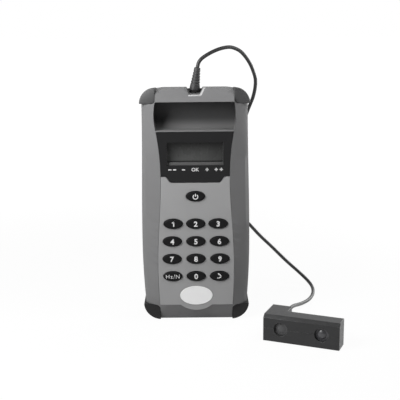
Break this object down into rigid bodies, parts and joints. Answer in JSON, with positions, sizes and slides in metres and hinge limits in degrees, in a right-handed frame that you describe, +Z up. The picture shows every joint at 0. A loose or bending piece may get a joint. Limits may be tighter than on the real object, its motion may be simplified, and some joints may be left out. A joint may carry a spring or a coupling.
{
  "type": "belt tension tester",
  "caption": "Hand-held belt tension tester: upright keypad case with display, probe bay and corner bumpers, and a two-eyed probe head on a cable.",
  "frame": {"origin": "centre of the flat base of the rear shell, on the surface that the tester stands on", "axes": "+Z up along the case, -Y out of the keypad face, +X to the right of the keypad"},
  "size_m": [0.1558, 0.1604, 0.2215],
  "materials": {
    "front_grey": "fine moulded grain",
    "rear_grey": "fine moulded grain",
    "bumper_rubber": "satin",
    "bay_black": "satin",
    "window_black": "gloss",
    "frame_dark": "satin",
    "lcd_glass": "gloss",
    "panel_grey": "matte print",
    "badge_white": "satin",
    "mat_rubber": "matte",
    "key_black": "satin",
    "board_green": "solder resist",
    "chip_black": "matte",
    "screw_steel": "plated",
    "battery_can": "painted can",
    "snap_black": "matte",
    "socket_black": "satin",
    "plug_black": "satin",
    "boot_rubber": "satin",
    "cable_jacket": "satin",
    "probe_black": "fine moulded grain",
    "lens_dark": "gloss",
    "diode_dark": "gloss",
    "gland_metal": "satin"
  },
  "bodies": {
    "case": {"front_shell": "front_grey", "rear_shell": "rear_grey", "bumper_top_left": "bumper_rubber", "bumper_top_right": "bumper_rubber", "bumper_bottom_left": "bumper_rubber", "bumper_bottom_right": "bumper_rubber", "bay_liner": "bay_black", "display_window": "window_black", "lcd_frame": "frame_dark", "lcd_glass": "lcd_glass", "keypad_panel": "panel_grey", "badge_plate": "badge_white", "keypad_mat": "mat_rubber", "main_board": "board_green", "board_chips": "chip_black", "board_screws": "screw_steel", "case_screws": "screw_steel", "battery": "battery_can", "battery_snap": "snap_black", "probe_socket": "socket_black", "probe_plug": "plug_black", "plug_boot": "boot_rubber", "probe_cable": "cable_jacket", "probe_body": "probe_black", "probe_cover": "probe_black", "probe_lens_left": "lens_dark", "probe_lens_right": "lens_dark", "probe_board": "board_green", "probe_diodes": "diode_dark", "probe_screws": "screw_steel", "probe_gland": "gland_metal"},
    "key_1_cap": {"key_1": "key_black"},
    "key_2_cap": {"key_2": "key_black"},
    "key_3_cap": {"key_3": "key_black"},
    "key_4_cap": {"key_4": "key_black"},
    "key_5_cap": {"key_5": "key_black"},
    "key_6_cap": {"key_6": "key_black"},
    "key_7_cap": {"key_7": "key_black"},
    "key_8_cap": {"key_8": "key_black"},
    "key_9_cap": {"key_9": "key_black"},
    "key_function_cap": {"key_function": "key_black"},
    "key_0_cap": {"key_0": "key_black"},
    "key_enter_cap": {"key_enter": "key_black"},
    "power_key_cap": {"power_key": "key_black"},
    "door": {"battery_door": "rear_grey"}
  },
  "joints": [
    {"name": "key_1_press", "type": "slide", "parent": "case", "child": "key_1_cap", "axis": [0, 1, 0], "range_m": [0, 0.001], "stiffness_N_per_m": 700},
    {"name": "key_2_press", "type": "slide", "parent": "case", "child": "key_2_cap", "axis": [0, 1, 0], "range_m": [0, 0.001], "stiffness_N_per_m": 700},
    {"name": "key_3_press", "type": "slide", "parent": "case", "child": "key_3_cap", "axis": [0, 1, 0], "range_m": [0, 0.001], "stiffness_N_per_m": 700},
    {"name": "key_4_press", "type": "slide", "parent": "case", "child": "key_4_cap", "axis": [0, 1, 0], "range_m": [0, 0.001], "stiffness_N_per_m": 700},
    {"name": "key_5_press", "type": "slide", "parent": "case", "child": "key_5_cap", "axis": [0, 1, 0], "range_m": [0, 0.001], "stiffness_N_per_m": 700},
    {"name": "key_6_press", "type": "slide", "parent": "case", "child": "key_6_cap", "axis": [0, 1, 0], "range_m": [0, 0.001], "stiffness_N_per_m": 700},
    {"name": "key_7_press", "type": "slide", "parent": "case", "child": "key_7_cap", "axis": [0, 1, 0], "range_m": [0, 0.001], "stiffness_N_per_m": 700},
    {"name": "key_8_press", "type": "slide", "parent": "case", "child": "key_8_cap", "axis": [0, 1, 0], "range_m": [0, 0.001], "stiffness_N_per_m": 700},
    {"name": "key_9_press", "type": "slide", "parent": "case", "child": "key_9_cap", "axis": [0, 1, 0], "range_m": [0, 0.001], "stiffness_N_per_m": 700},
    {"name": "key_function_press", "type": "slide", "parent": "case", "child": "key_function_cap", "axis": [0, 1, 0], "range_m": [0, 0.001], "stiffness_N_per_m": 700},
    {"name": "key_0_press", "type": "slide", "parent": "case", "child": "key_0_cap", "axis": [0, 1, 0], "range_m": [0, 0.001], "stiffness_N_per_m": 700},
    {"name": "key_enter_press", "type": "slide", "parent": "case", "child": "key_enter_cap", "axis": [0, 1, 0], "range_m": [0, 0.001], "stiffness_N_per_m": 700},
    {"name": "power_key_press", "type": "slide", "parent": "case", "child": "power_key_cap", "axis": [0, 1, 0], "range_m": [0, 0.001], "stiffness_N_per_m": 700},
    {"name": "battery_door_tilt", "type": "hinge", "parent": "case", "child": "door", "pos_m": [0, 0.014, 0.02], "axis": [-1, 0, 0], "range_deg": [0, 80]}
  ]
}
